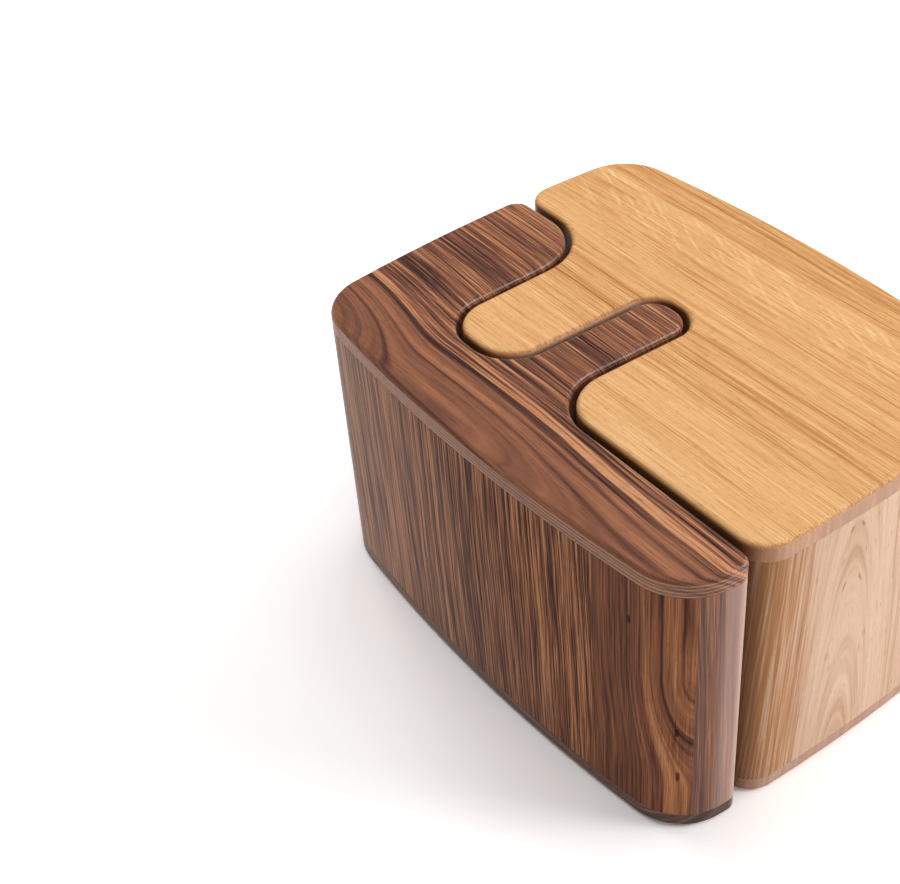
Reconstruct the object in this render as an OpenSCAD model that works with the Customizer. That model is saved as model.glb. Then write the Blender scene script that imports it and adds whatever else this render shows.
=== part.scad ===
// Low table in two interlocking halves: a walnut half with two fingers and an oak half
// with a tongue. Each half is a hollow case of upright walls glued round two formers,
// with a solid top board, a thin base board and glides. The halves pull apart sideways.

/* [Outline] */
// Width across the fingers, left to right
table_w = 480; // [470:5:540]
// Length along the long joint, front to back
table_l = 600; // [580:5:700]
// Height of the top face above the floor
table_h = 343; // [280:1:420]
// Radius of the two long bowed sides
long_side_r = 2000; // [1600:50:3000]
// Radius of the two short bowed sides
short_side_r = 1900; // [1600:50:3000]
// Radius of the four outer corners
corner_r = 64; // [54:1:67]

/* [Joint between the halves] */
// Open gap between the two halves
joint_gap = 7; // [5:0.5:8]
// Width of the walnut half along the long joint, left side to joint line
strip_w = 102; // [100:1:110]
// Width of the walnut half behind the tongue's end
slot_end_w = 101; // [95:1:110]
// Reach of the middle finger's tip from the left side
finger_reach = 296; // [284:1:312]
// Reach of the back finger from the left side
back_finger_reach = 309; // [300:1:325]
// Width of the back finger, back side to joint line
back_finger_w = 129; // [120:1:134]
// Distance from the back side to the middle finger's axis at its root
finger_back = 269; // [264:1:274]
// Width of the middle finger, joint line to joint line
finger_w = 67; // [64:1:74]
// How far the middle finger drops to the front from root to tip
finger_slant = 8; // [4:0.5:12]

/* [Joint radii] */
// Radius round the back finger's big corner
back_finger_r = 68; // [58:1:76]
// Radius round the tongue's two corners
tongue_r = 47; // [40:1:49]
// Radius round the middle finger's two corners
middle_finger_r = 29; // [26:1:31]
// Radius where the long joint meets the middle finger
long_joint_r = 58; // [48:1:66]
// Radius of the walnut half's back corner at the joint
walnut_back_r = 19; // [17:1:24]
// Radius of the oak half's back corner at the joint
oak_back_r = 28; // [22:1:34]
// Radius of the walnut half's front corner at the joint
walnut_front_r = 14; // [14:0.5:16]
// Radius of the oak half's front corner at the joint
oak_front_r = 34; // [26:1:40]

/* [Boards] */
// Thickness of the top boards
top_t = 20; // [18:1:26]
// Radius of the rounded upper edge
top_edge_r = 6; // [4:0.5:8]
// Thickness of the base boards
base_t = 16; // [12:1:20]
// Thickness of the upright walls
wall_t = 12; // [9:0.5:13]
// Thickness of the plywood formers
former_t = 12; // [9:1:18]
// Clearance of a former inside the walls
former_fit = 0.2; // [0.1:0.1:0.4]

/* [Fittings] */
// Radius of a screw's shank
screw_r = 2; // [1.5:0.25:2.5]
// Radius of a countersunk screw head
screw_head_r = 4; // [3.5:0.25:5]
// Height of a countersunk screw head
screw_head_h = 2.5; // [2:0.25:3.5]
// How far a screw bites into the board that it holds
screw_bite = 9; // [7:0.5:11]
// Clearance round a screw or nail in its hole
screw_fit = 0.15; // [0.1:0.05:0.3]
// Distance of the outer screws from the outer sides
rim_inset = 75; // [66:1:85]
// Distance of the screws beside the long joint from it
joint_inset = 40; // [32:1:46]
// Radius of a glide's disc
glide_r = 11; // [8:0.5:13]
// Height of a glide's disc, which lifts the base off the floor
glide_h = 3; // [2.5:0.5:6]
// Distance from a glide to the screw beside it
glide_step = 24; // [20:1:30]
// Radius of a glide nail's shank
nail_r = 1.2; // [0.8:0.1:1.6]
// Radius of a glide nail's head
nail_head_r = 2.6; // [2:0.1:3.5]
// Height of a glide nail's head
nail_head_h = 1.2; // [0.8:0.1:1.6]
// How far a glide nail goes into the base board
nail_bite = 9; // [6:0.5:11]

/* [Hidden] */

// Colours
walnut_c = [0.45, 0.30, 0.22];
oak_c = [0.87, 0.68, 0.46];
ply_c = [0.80, 0.70, 0.54];
steel_c = [0.70, 0.70, 0.72];
glide_c = [0.16, 0.15, 0.14];

// Smoothness of big arcs, corner arcs, small round fittings and the rounded upper edge
side_fn = 720;
arc_fn = 120;
small_fn = 32;
edge_steps = 5;

// Heights
base_z = glide_h;
wall_z = base_z + base_t;
top_z = table_h - top_t;
wall_h = top_z - wall_z;

// ---------------------------------------------------------------- vectors
function unit(v) = v / norm(v);
function left_of(v) = [-v[1], v[0]];
function miter(a, b) = (a + b) / (1 + a * b);
function mirrored(v, sx, sy) = [v[0] * sx, v[1] * sy];

// ---------------------------------------------------------------- outline
// Centres of the right and back side arcs; the left and front ones mirror them
right_c = [table_w / 2 - long_side_r, 0];
back_c = [0, table_l / 2 - short_side_r];

// Meeting point, in the first quadrant, of two circles round right_c and back_c
function meet(ra, rb) =
    let (
        gap = norm(back_c - right_c),
        along = unit(back_c - right_c),
        a = (ra * ra - rb * rb + gap * gap) / (2 * gap),
        h = sqrt(ra * ra - a * a)
    )
    right_c + along * a + left_of(along) * h;
corner_c = meet(long_side_r - corner_r, short_side_r - corner_r);

// An arc is [centre, radius, +1 convex or -1 concave, start and end direction, is it a side]
function arc(c, r, bend, u1, u2, side = false) = [c, r, bend, u1, u2, side];

// Directions from the arc centres to the corner's two tangent points
side_u = unit(corner_c - right_c);
end_u = unit(corner_c - back_c);

// Where a vertical joint line at x meets the back side, rounded inwards by r
function rim_c(x, r) =
    [x, back_c[1] + sqrt(pow(short_side_r - r, 2) - x * x)];

// ---------------------------------------------------------------- joint line
half_gap = joint_gap / 2;
left_x = -table_w / 2;
back_y = table_l / 2;
long_joint_x = left_x + strip_w;
tongue_end_x = left_x + slot_end_w;
finger_tip_x = left_x + finger_reach;
back_joint_x = left_x + back_finger_reach;
tongue_far_y = back_y - back_finger_w;
finger_root_y = back_y - finger_back;
finger_half = finger_w / 2;
far_away = 1000;

// Corners of the joint's centre line, from back to front, with the oak half on its left
joint_v = [
    [back_joint_x, far_away],
    [back_joint_x, tongue_far_y],
    [tongue_end_x, tongue_far_y],
    [tongue_end_x, finger_root_y + finger_half],
    [finger_tip_x, finger_root_y + finger_half - finger_slant],
    [finger_tip_x, finger_root_y - finger_half - finger_slant],
    [long_joint_x, finger_root_y - finger_half],
    [long_joint_x, -far_away]];
joint_r = [
    0, back_finger_r, tongue_r, tongue_r,
    middle_finger_r, middle_finger_r, long_joint_r, 0];

// Direction of one stretch of the joint line, and its normal towards the oak half
function run(i) = unit(joint_v[i + 1] - joint_v[i]);
function to_oak(i) = left_of(run(i));
function turn(i) = sign(left_of(run(i - 1)) * run(i));
function joint_c(i) =
    joint_v[i] + turn(i) * joint_r[i] * miter(to_oak(i - 1), to_oak(i));

// A corner of the joint line as the oak half's arc and as the walnut half's arc
function oak_arc(i) =
    arc(joint_c(i), joint_r[i] - turn(i) * half_gap, turn(i),
        -turn(i) * to_oak(i - 1), -turn(i) * to_oak(i));
function walnut_arc(i) =
    arc(joint_c(i), joint_r[i] + turn(i) * half_gap, -turn(i),
        -turn(i) * to_oak(i), -turn(i) * to_oak(i - 1));

// ---------------------------------------------------------------- both outlines
walnut_x = [back_joint_x - half_gap, long_joint_x - half_gap];
oak_x = [back_joint_x + half_gap, long_joint_x + half_gap];
walnut_back_c = rim_c(walnut_x[0] - walnut_back_r, walnut_back_r);
oak_back_c = rim_c(oak_x[0] + oak_back_r, oak_back_r);
walnut_front_c = mirrored(rim_c(walnut_x[1] - walnut_front_r, walnut_front_r), 1, -1);
oak_front_c = mirrored(rim_c(oak_x[1] + oak_front_r, oak_front_r), 1, -1);
left_c = -right_c;
front_c = -back_c;

// Arcs of each half, anticlockwise
walnut_arcs = [
    arc(left_c, long_side_r, 1, mirrored(side_u, -1, 1), mirrored(side_u, -1, -1), true),
    arc(-corner_c, corner_r, 1, -side_u, -end_u),
    arc(front_c, short_side_r, 1, -end_u, unit(walnut_front_c - front_c), true),
    arc(walnut_front_c, walnut_front_r, 1, unit(walnut_front_c - front_c), [1, 0]),
    walnut_arc(6),
    walnut_arc(5),
    walnut_arc(4),
    walnut_arc(3),
    walnut_arc(2),
    walnut_arc(1),
    arc(walnut_back_c, walnut_back_r, 1, [1, 0], unit(walnut_back_c - back_c)),
    arc(back_c, short_side_r, 1, unit(walnut_back_c - back_c), mirrored(end_u, -1, 1), true),
    arc(mirrored(corner_c, -1, 1), corner_r, 1,
        mirrored(end_u, -1, 1), mirrored(side_u, -1, 1))];
oak_arcs = [
    arc(right_c, long_side_r, 1, mirrored(side_u, 1, -1), side_u, true),
    arc(corner_c, corner_r, 1, side_u, end_u),
    arc(back_c, short_side_r, 1, end_u, unit(oak_back_c - back_c), true),
    arc(oak_back_c, oak_back_r, 1, unit(oak_back_c - back_c), [-1, 0]),
    oak_arc(1),
    oak_arc(2),
    oak_arc(3),
    oak_arc(4),
    oak_arc(5),
    oak_arc(6),
    arc(oak_front_c, oak_front_r, 1, [-1, 0], unit(oak_front_c - front_c)),
    arc(front_c, short_side_r, 1, unit(oak_front_c - front_c), mirrored(end_u, 1, -1), true),
    arc(mirrored(corner_c, 1, -1), corner_r, 1,
        mirrored(end_u, 1, -1), mirrored(side_u, 1, -1))];

// ---------------------------------------------------------------- plan shapes
// How far a cutter passes a face, how far a cut passes a bowed side, and the hairs by
// which a corner's radius and its tangent points are passed
overcut = 1;
bow_reach = 50;
blend = 0.01;
spread = 0.1;

// Radius of an arc when the whole outline is drawn in by d
function drawn_in(a, d) = a[1] - a[2] * d;
function arc_start(a, d) = a[0] + drawn_in(a, d) * a[3];
function arc_end(a, d) = a[0] + drawn_in(a, d) * a[4];

// The part of a bowed side's disc beyond its own chord
module side_cap(a, d) {
    r = drawn_in(a, d);
    out = unit(a[3] + a[4]);
    p = arc_start(a, d);
    q = arc_end(a, d);
    intersection() {
        translate(a[0]) circle(r = r, $fn = side_fn);
        polygon([p, q, q + out * bow_reach, p + out * bow_reach]);
    }
}

// A corner's slice of disc. It is a hair larger than its tangent radius and reaches a
// little past its tangent points, so that it crosses its neighbours cleanly
module corner_slice(a, d) {
    out = unit(a[3] + a[4]);
    u = unit(a[3] - spread * out);
    v = unit(a[4] - spread * out);
    k = drawn_in(a, d) + overcut;
    intersection() {
        translate(a[0]) circle(r = drawn_in(a, d) + blend, $fn = arc_fn);
        polygon([a[0], a[0] + k * u, a[0] + k * miter(u, v), a[0] + k * v]);
    }
}

// One half's plan, drawn in by d all round
module plan(arcs, d = 0) {
    difference() {
        union() {
            polygon([for (a = arcs) each [arc_start(a, d), arc_end(a, d)]]);
            for (a = arcs) if (a[5]) side_cap(a, d);
            for (a = arcs) if (a[2] > 0 && !a[5]) corner_slice(a, d);
        }
        for (a = arcs) if (a[2] < 0) corner_slice(a, d);
    }
}

module slab(arcs, d, z, t) {
    translate([0, 0, z]) linear_extrude(t) plan(arcs, d);
}

// ---------------------------------------------------------------- walls
// A corner piece ends at its arc's tangent points, and its neighbours start there

// Cutters, seen from above, that part the ring of walls into pieces
function reach(a) = a[1] + overcut + (a[2] > 0 ? 0 : wall_t);
function outside(a) = a[0] + reach(a) * miter(a[3], a[4]);

module corner_cut(a) {
    polygon([a[0], a[0] + reach(a) * a[3], outside(a), a[0] + reach(a) * a[4]]);
}

module corner_pair_cut(a, b) {
    polygon([a[0], a[0] + reach(a) * a[3], outside(a), outside(b), b[0] + reach(b) * b[4], b[0]]);
}

module run_cut(a, b) {
    inward = -a[2] * a[4];
    p = arc_end(a, 0);
    q = arc_start(b, 0);
    deep = wall_t + overcut;
    polygon([p - overcut * inward, q - overcut * inward, q + deep * inward, p + deep * inward]);
}

module bow_cut(a) {
    near = a[1] - bow_reach;
    far = a[1] + bow_reach;
    polygon([a[0] + near * a[3], a[0] + far * a[3], a[0] + far * a[4], a[0] + near * a[4]]);
}

// A piece of wall: corner number i, corners i to j, the straight after corner i, or
// the bowed side i
module corner(arcs, i) {
    corner_cut(arcs[i]);
}

module corner_pair(arcs, i, j) {
    corner_pair_cut(arcs[i], arcs[j]);
}

module straight(arcs, i) {
    run_cut(arcs[i], arcs[i + 1]);
}

module bow(arcs, i) {
    bow_cut(arcs[i]);
}

module wall(arcs) {
    translate([0, 0, wall_z]) linear_extrude(wall_h) intersection() {
        difference() {
            plan(arcs);
            plan(arcs, wall_t);
        }
        children();
    }
}

module walnut_wall() {
    color(walnut_c) wall(walnut_arcs) children();
}

module oak_wall() {
    color(oak_c) wall(oak_arcs) children();
}

module walnut_outer_panel() {
    walnut_wall() bow(walnut_arcs, 0);
}

module walnut_nose() {
    walnut_wall() corner_pair(walnut_arcs, 1, 3);
}

module walnut_joint_panel() {
    walnut_wall() straight(walnut_arcs, 3);
}

module walnut_inner_cove() {
    walnut_wall() corner(walnut_arcs, 4);
}

module walnut_finger_near_panel() {
    walnut_wall() straight(walnut_arcs, 4);
}

module walnut_finger_tip() {
    walnut_wall() corner_pair(walnut_arcs, 5, 6);
}

module walnut_finger_far_panel() {
    walnut_wall() straight(walnut_arcs, 6);
}

module walnut_slot_end() {
    walnut_wall() corner_pair(walnut_arcs, 7, 8);
}

module walnut_slot_far_panel() {
    walnut_wall() straight(walnut_arcs, 8);
}

module walnut_back_finger_round() {
    walnut_wall() corner(walnut_arcs, 9);
}

module walnut_back_finger_end() {
    walnut_wall() straight(walnut_arcs, 9);
}

module walnut_back_finger_corner() {
    walnut_wall() corner(walnut_arcs, 10);
}

module walnut_back_panel() {
    walnut_wall() bow(walnut_arcs, 11);
}

module walnut_back_corner() {
    walnut_wall() corner(walnut_arcs, 12);
}

module oak_outer_panel() {
    oak_wall() bow(oak_arcs, 0);
}

module oak_back_right_corner() {
    oak_wall() corner(oak_arcs, 1);
}

module oak_back_panel() {
    oak_wall() bow(oak_arcs, 2);
}

module oak_back_joint_corner() {
    oak_wall() corner(oak_arcs, 3);
}

module oak_back_joint_panel() {
    oak_wall() straight(oak_arcs, 3);
}

module oak_back_cove() {
    oak_wall() corner(oak_arcs, 4);
}

module oak_tongue_far_panel() {
    oak_wall() straight(oak_arcs, 4);
}

module oak_tongue_end() {
    oak_wall() corner_pair(oak_arcs, 5, 6);
}

module oak_tongue_near_panel() {
    oak_wall() straight(oak_arcs, 6);
}

module oak_recess_end() {
    oak_wall() corner_pair(oak_arcs, 7, 8);
}

module oak_recess_near_panel() {
    oak_wall() straight(oak_arcs, 8);
}

module oak_joint_corner() {
    oak_wall() corner(oak_arcs, 9);
}

module oak_joint_panel() {
    oak_wall() straight(oak_arcs, 9);
}

module oak_front_joint_corner() {
    oak_wall() corner(oak_arcs, 10);
}

module oak_front_panel() {
    oak_wall() bow(oak_arcs, 11);
}

module oak_front_right_corner() {
    oak_wall() corner(oak_arcs, 12);
}

// ---------------------------------------------------------------- fittings
// Places of the screws, and a glide beside most of them
rim_y = table_l / 2 - rim_inset;
rim_x = table_w / 2 - rim_inset;
walnut_x_in = long_joint_x - joint_inset;
oak_x_in = long_joint_x + joint_inset + glide_step;
finger_c = (joint_c(4) + joint_c(5)) / 2;
tongue_c = (joint_c(2) + joint_c(3)) / 2;
walnut_spots = [
    [walnut_x_in, -rim_y], [walnut_x_in, rim_y], [joint_c(1)[0], rim_y], finger_c,
    [walnut_x_in, finger_root_y]];
oak_spots = [
    [oak_x_in, -rim_y], [rim_x, -rim_y], [rim_x, rim_y], tongue_c,
    [rim_x, finger_root_y], [finger_tip_x, -table_l / 4]];
glide_count = 4;

// A countersunk screw or nail pointing up, with its head's face at z = 0
module fastener(head_r, head_h, shank_r, l) {
    rotate_extrude($fn = small_fn)
        polygon([[0, 0], [head_r, 0], [shank_r, head_h], [shank_r, l - shank_r], [0, l]]);
}

// The hole that a fastener needs, open below its head
module fastener_hole(head_r, head_h, shank_r, l) {
    rotate_extrude($fn = small_fn)
        polygon([
            [0, -overcut], [head_r + screw_fit, -overcut], [head_r + screw_fit, 0],
            [shank_r + screw_fit, head_h], [shank_r + screw_fit, l + overcut], [0, l + overcut]]);
}

module at_spots(spots, z) {
    for (s = spots) translate([s[0], s[1], z]) children();
}

function glide_spots(spots) = [for (i = [0 : glide_count - 1]) spots[i] - [glide_step, 0]];
top_former_z = top_z - former_t;
top_screw_l = former_t + screw_bite;
base_screw_l = base_t + screw_bite;
nail_l = glide_h + nail_bite;

module top_screw_holes(spots) {
    at_spots(spots, top_former_z)
        fastener_hole(screw_head_r, screw_head_h, screw_r, top_screw_l);
}

module base_screw_holes(spots) {
    at_spots(spots, base_z)
        fastener_hole(screw_head_r, screw_head_h, screw_r, base_screw_l);
}

module nail_holes(spots) {
    at_spots(glide_spots(spots), 0)
        fastener_hole(nail_head_r, nail_head_h, nail_r, nail_l);
}

module top_screws(spots) {
    color(steel_c) at_spots(spots, top_former_z)
        fastener(screw_head_r, screw_head_h, screw_r, top_screw_l);
}

module base_screws(spots) {
    color(steel_c) at_spots(spots, base_z)
        fastener(screw_head_r, screw_head_h, screw_r, base_screw_l);
}

module glide_nails(spots) {
    color(steel_c) at_spots(glide_spots(spots), 0)
        fastener(nail_head_r, nail_head_h, nail_r, nail_l);
}

module glides(spots) {
    color(glide_c) difference() {
        at_spots(glide_spots(spots), 0) cylinder(r = glide_r, h = glide_h, $fn = 2 * small_fn);
        nail_holes(spots);
    }
}

// ---------------------------------------------------------------- boards
// A solid top with its upper edge rounded in small steps, drilled from below
function step_in(i) = top_edge_r * (1 - cos(i * 90 / edge_steps));
function step_z(i) = i < 0 ? top_z : table_h - top_edge_r * (1 - sin(i * 90 / edge_steps));

module top_board(arcs, spots) {
    difference() {
        union() {
            slab(arcs, 0, top_z, step_z(0) - top_z);
            for (i = [1 : edge_steps])
                slab(arcs, step_in(i), step_z(i - 2), step_z(i) - step_z(i - 2));
        }
        top_screw_holes(spots);
    }
}

module base_board(arcs, spots) {
    difference() {
        slab(arcs, 0, base_z, base_t);
        base_screw_holes(spots);
        nail_holes(spots);
    }
}

module top_former(arcs, spots) {
    color(ply_c) difference() {
        slab(arcs, wall_t + former_fit, top_former_z, former_t);
        top_screw_holes(spots);
    }
}

module base_former(arcs, spots) {
    color(ply_c) difference() {
        slab(arcs, wall_t + former_fit, wall_z, former_t);
        base_screw_holes(spots);
    }
}

module walnut_top_board() {
    color(walnut_c) top_board(walnut_arcs, walnut_spots);
}

module walnut_base_board() {
    color(walnut_c) base_board(walnut_arcs, walnut_spots);
}

module walnut_top_former() {
    top_former(walnut_arcs, walnut_spots);
}

module walnut_base_former() {
    base_former(walnut_arcs, walnut_spots);
}

module walnut_top_screws() {
    top_screws(walnut_spots);
}

module walnut_base_screws() {
    base_screws(walnut_spots);
}

module walnut_glides() {
    glides(walnut_spots);
}

module walnut_glide_nails() {
    glide_nails(walnut_spots);
}

module oak_top_board() {
    color(oak_c) top_board(oak_arcs, oak_spots);
}

module oak_base_board() {
    color(oak_c) base_board(oak_arcs, oak_spots);
}

module oak_top_former() {
    top_former(oak_arcs, oak_spots);
}

module oak_base_former() {
    base_former(oak_arcs, oak_spots);
}

module oak_top_screws() {
    top_screws(oak_spots);
}

module oak_base_screws() {
    base_screws(oak_spots);
}

module oak_glides() {
    glides(oak_spots);
}

module oak_glide_nails() {
    glide_nails(oak_spots);
}

walnut_top_board();
walnut_base_board();
walnut_top_former();
walnut_base_former();
walnut_top_screws();
walnut_base_screws();
walnut_glides();
walnut_glide_nails();
walnut_outer_panel();
walnut_nose();
walnut_joint_panel();
walnut_inner_cove();
walnut_finger_near_panel();
walnut_finger_tip();
walnut_finger_far_panel();
walnut_slot_end();
walnut_slot_far_panel();
walnut_back_finger_round();
walnut_back_finger_end();
walnut_back_finger_corner();
walnut_back_panel();
walnut_back_corner();
oak_top_board();
oak_base_board();
oak_top_former();
oak_base_former();
oak_top_screws();
oak_base_screws();
oak_glides();
oak_glide_nails();
oak_outer_panel();
oak_back_right_corner();
oak_back_panel();
oak_back_joint_corner();
oak_back_joint_panel();
oak_back_cove();
oak_tongue_far_panel();
oak_tongue_end();
oak_tongue_near_panel();
oak_recess_end();
oak_recess_near_panel();
oak_joint_corner();
oak_joint_panel();
oak_front_joint_corner();
oak_front_panel();
oak_front_right_corner();
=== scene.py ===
"""Looks of the low table in two interlocking halves, one walnut and one oak."""
import math
from collections import namedtuple

import bpy
from mathutils import Matrix, Vector


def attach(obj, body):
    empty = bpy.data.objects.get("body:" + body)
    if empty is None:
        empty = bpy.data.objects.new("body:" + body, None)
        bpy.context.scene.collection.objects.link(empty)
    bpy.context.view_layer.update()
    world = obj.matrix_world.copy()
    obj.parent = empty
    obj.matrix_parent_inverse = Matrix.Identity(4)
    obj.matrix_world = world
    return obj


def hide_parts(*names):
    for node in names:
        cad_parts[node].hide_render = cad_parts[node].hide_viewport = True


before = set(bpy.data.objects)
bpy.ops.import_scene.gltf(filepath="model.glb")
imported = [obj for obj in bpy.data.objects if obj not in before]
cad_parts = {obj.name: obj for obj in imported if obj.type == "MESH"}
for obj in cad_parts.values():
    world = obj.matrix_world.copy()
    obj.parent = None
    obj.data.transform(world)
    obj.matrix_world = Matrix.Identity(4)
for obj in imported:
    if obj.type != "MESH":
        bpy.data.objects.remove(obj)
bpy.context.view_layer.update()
MM = 0.001

# ------------------------------------------------------------------ sizes, in mm
TABLE_W = 480
TABLE_L = 600
TABLE_H = 343
LONG_SIDE_R = 2000
SHORT_SIDE_R = 1900
CORNER_R = 64

JOINT_GAP = 7
BACK_JOINT_X = 69
LONG_JOINT_X = -138
TONGUE_END_X = -139
TONGUE_FAR_Y = 171
FINGER_ROOT_Y = 31
FINGER_W = 67
FINGER_TIP_X = 56
FINGER_SLANT = 8

BACK_FINGER_R = 68
TONGUE_R = 47
MIDDLE_FINGER_R = 29
LONG_JOINT_R = 58
WALNUT_BACK_R = 19
OAK_BACK_R = 28
WALNUT_FRONT_R = 14
OAK_FRONT_R = 34

TOP_T = 20
TOP_EDGE_R = 6
BASE_T = 16
BASE_EDGE_R = 2.5
WALL_T = 12
GLIDE_H = 3
SEAM_R = 0.4

BASE_Z = GLIDE_H
WALL_Z = BASE_Z + BASE_T
TOP_Z = TABLE_H - TOP_T
FAR = 1000  # the joint's centre line starts and ends this far outside the table
ROUND_STEP = 1.5  # arc length in one step of a spin round a corner
BOW_STEP = 12  # the same along the long bowed sides
RIM_DEPTH = 2  # how far a board's swept rim reaches in behind its rounding

# Distances in metres for finding and merging vertices
SAME_PLACE = 1e-6
WELD = 2e-5
SMOOTH_ANGLE = math.radians(40)


# ------------------------------------------------------------------ outlines
def left_of(v):
    """The direction a quarter turn to the left."""
    return Vector((-v.y, v.x))


def miter(a, b):
    """From a corner to where the two lines moved by unit steps a and b meet."""
    return (a + b) / (1 + a.dot(b))


def mirrored(v, sx, sy):
    return Vector((v.x * sx, v.y * sy))


Arc = namedtuple("Arc", "centre radius bend start end side")
# bend is +1 where the wood is inside the arc and -1 where it is outside


def arc(centre, radius, bend, start, end, side=False):
    return Arc(centre, radius, bend, start.normalized(), end.normalized(), side)


def joint_line():
    """Corners of the joint's centre line, back to front, and the radius of each."""
    half = FINGER_W / 2
    corners = [
        (BACK_JOINT_X, FAR),
        (BACK_JOINT_X, TONGUE_FAR_Y),
        (TONGUE_END_X, TONGUE_FAR_Y),
        (TONGUE_END_X, FINGER_ROOT_Y + half),
        (FINGER_TIP_X, FINGER_ROOT_Y + half - FINGER_SLANT),
        (FINGER_TIP_X, FINGER_ROOT_Y - half - FINGER_SLANT),
        (LONG_JOINT_X, FINGER_ROOT_Y - half),
        (LONG_JOINT_X, -FAR),
    ]
    radii = [0, BACK_FINGER_R, TONGUE_R, TONGUE_R,
             MIDDLE_FINGER_R, MIDDLE_FINGER_R, LONG_JOINT_R, 0]
    return [Vector(c) for c in corners], radii


def joint_arc(i, for_oak):
    """Corner i of the joint as the arc of one half's outline."""
    corners, radii = joint_line()
    before = left_of((corners[i] - corners[i - 1]).normalized())
    after = left_of((corners[i + 1] - corners[i]).normalized())
    turn = 1 if left_of(-left_of(before)).dot(-left_of(after)) > 0 else -1
    centre = corners[i] + turn * radii[i] * miter(before, after)
    grow = turn * JOINT_GAP / 2
    if for_oak:
        return arc(centre, radii[i] - grow, turn, -turn * before, -turn * after)
    return arc(centre, radii[i] + grow, -turn, -turn * after, -turn * before)


RIGHT_C = Vector((TABLE_W / 2 - LONG_SIDE_R, 0))
BACK_C = Vector((0, TABLE_L / 2 - SHORT_SIDE_R))


def corner_centre():
    """Centre of the outer corner's arc: it touches a long side and a short side."""
    ra = LONG_SIDE_R - CORNER_R
    rb = SHORT_SIDE_R - CORNER_R
    between = BACK_C - RIGHT_C
    gap = between.length
    along = between.normalized()
    a = (ra * ra - rb * rb + gap * gap) / (2 * gap)
    return RIGHT_C + along * a + left_of(along) * math.sqrt(ra * ra - a * a)


def rim_centre(x, radius):
    """Centre of the small corner where the joint leaves the back side."""
    return Vector((x, BACK_C.y + math.sqrt((SHORT_SIDE_R - radius) ** 2 - x * x)))


CORNER_C = corner_centre()
SIDE_U = (CORNER_C - RIGHT_C).normalized()
END_U = (CORNER_C - BACK_C).normalized()


def walnut_outline():
    back_x = BACK_JOINT_X - JOINT_GAP / 2
    front_x = LONG_JOINT_X - JOINT_GAP / 2
    back = rim_centre(back_x - WALNUT_BACK_R, WALNUT_BACK_R)
    front = mirrored(rim_centre(front_x - WALNUT_FRONT_R, WALNUT_FRONT_R), 1, -1)
    east = Vector((1, 0))
    return [
        arc(-RIGHT_C, LONG_SIDE_R, 1, mirrored(SIDE_U, -1, 1), -SIDE_U, True),
        arc(-CORNER_C, CORNER_R, 1, -SIDE_U, -END_U),
        arc(-BACK_C, SHORT_SIDE_R, 1, -END_U, front + BACK_C, True),
        arc(front, WALNUT_FRONT_R, 1, front + BACK_C, east),
        joint_arc(6, False),
        joint_arc(5, False),
        joint_arc(4, False),
        joint_arc(3, False),
        joint_arc(2, False),
        joint_arc(1, False),
        arc(back, WALNUT_BACK_R, 1, east, back - BACK_C),
        arc(BACK_C, SHORT_SIDE_R, 1, back - BACK_C, mirrored(END_U, -1, 1), True),
        arc(mirrored(CORNER_C, -1, 1), CORNER_R, 1,
            mirrored(END_U, -1, 1), mirrored(SIDE_U, -1, 1)),
    ]


def oak_outline():
    back_x = BACK_JOINT_X + JOINT_GAP / 2
    front_x = LONG_JOINT_X + JOINT_GAP / 2
    back = rim_centre(back_x + OAK_BACK_R, OAK_BACK_R)
    front = mirrored(rim_centre(front_x + OAK_FRONT_R, OAK_FRONT_R), 1, -1)
    west = Vector((-1, 0))
    return [
        arc(RIGHT_C, LONG_SIDE_R, 1, mirrored(SIDE_U, 1, -1), SIDE_U, True),
        arc(CORNER_C, CORNER_R, 1, SIDE_U, END_U),
        arc(BACK_C, SHORT_SIDE_R, 1, END_U, back - BACK_C, True),
        arc(back, OAK_BACK_R, 1, back - BACK_C, west),
        joint_arc(1, True),
        joint_arc(2, True),
        joint_arc(3, True),
        joint_arc(4, True),
        joint_arc(5, True),
        joint_arc(6, True),
        arc(front, OAK_FRONT_R, 1, west, front + BACK_C),
        arc(-BACK_C, SHORT_SIDE_R, 1, front + BACK_C, mirrored(END_U, 1, -1), True),
        arc(mirrored(CORNER_C, 1, -1), CORNER_R, 1,
            mirrored(END_U, 1, -1), mirrored(SIDE_U, 1, -1)),
    ]


# A path is a list of steps: ("spin", arc) or ("run", start, end, inward)
def start_point(a):
    return a.centre + a.radius * a.start


def end_point(a):
    return a.centre + a.radius * a.end


def path_steps(arcs, first, last):
    """The outline from arc number first to arc number last, and the straights between."""
    steps = []
    for i in range(first, last + 1):
        a = arcs[i % len(arcs)]
        steps.append(("spin", a))
        b = arcs[(i + 1) % len(arcs)]
        if i < last and not a.side and not b.side:
            steps.append(("run", end_point(a), start_point(b), -a.bend * a.end))
    return steps


def straight_step(arcs, i):
    """The straight after arc number i."""
    a = arcs[i]
    return [("run", end_point(a), start_point(arcs[i + 1]), -a.bend * a.end)]


def turn_angle(a):
    """How far an arc turns, in radians, counterclockwise as positive."""
    return math.atan2(a.start.x * a.end.y - a.start.y * a.end.x, a.start.dot(a.end))


def perimeter_places(arcs):
    """Where each arc starts, measured along the outline in mm."""
    places = []
    at = 0
    for i, a in enumerate(arcs):
        places.append(at)
        at += abs(turn_angle(a)) * a.radius
        b = arcs[(i + 1) % len(arcs)]
        at += (start_point(b) - end_point(a)).length
    return places


# ------------------------------------------------------------------ mesh making
def deselect():
    bpy.ops.object.select_all(action="DESELECT")


def only(obj):
    deselect()
    obj.select_set(True)
    bpy.context.view_layer.objects.active = obj


def edit(obj, mode):
    only(obj)
    bpy.ops.object.mode_set(mode="EDIT")
    bpy.ops.mesh.select_mode(type=mode)
    bpy.ops.mesh.select_all(action="DESELECT")


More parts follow.
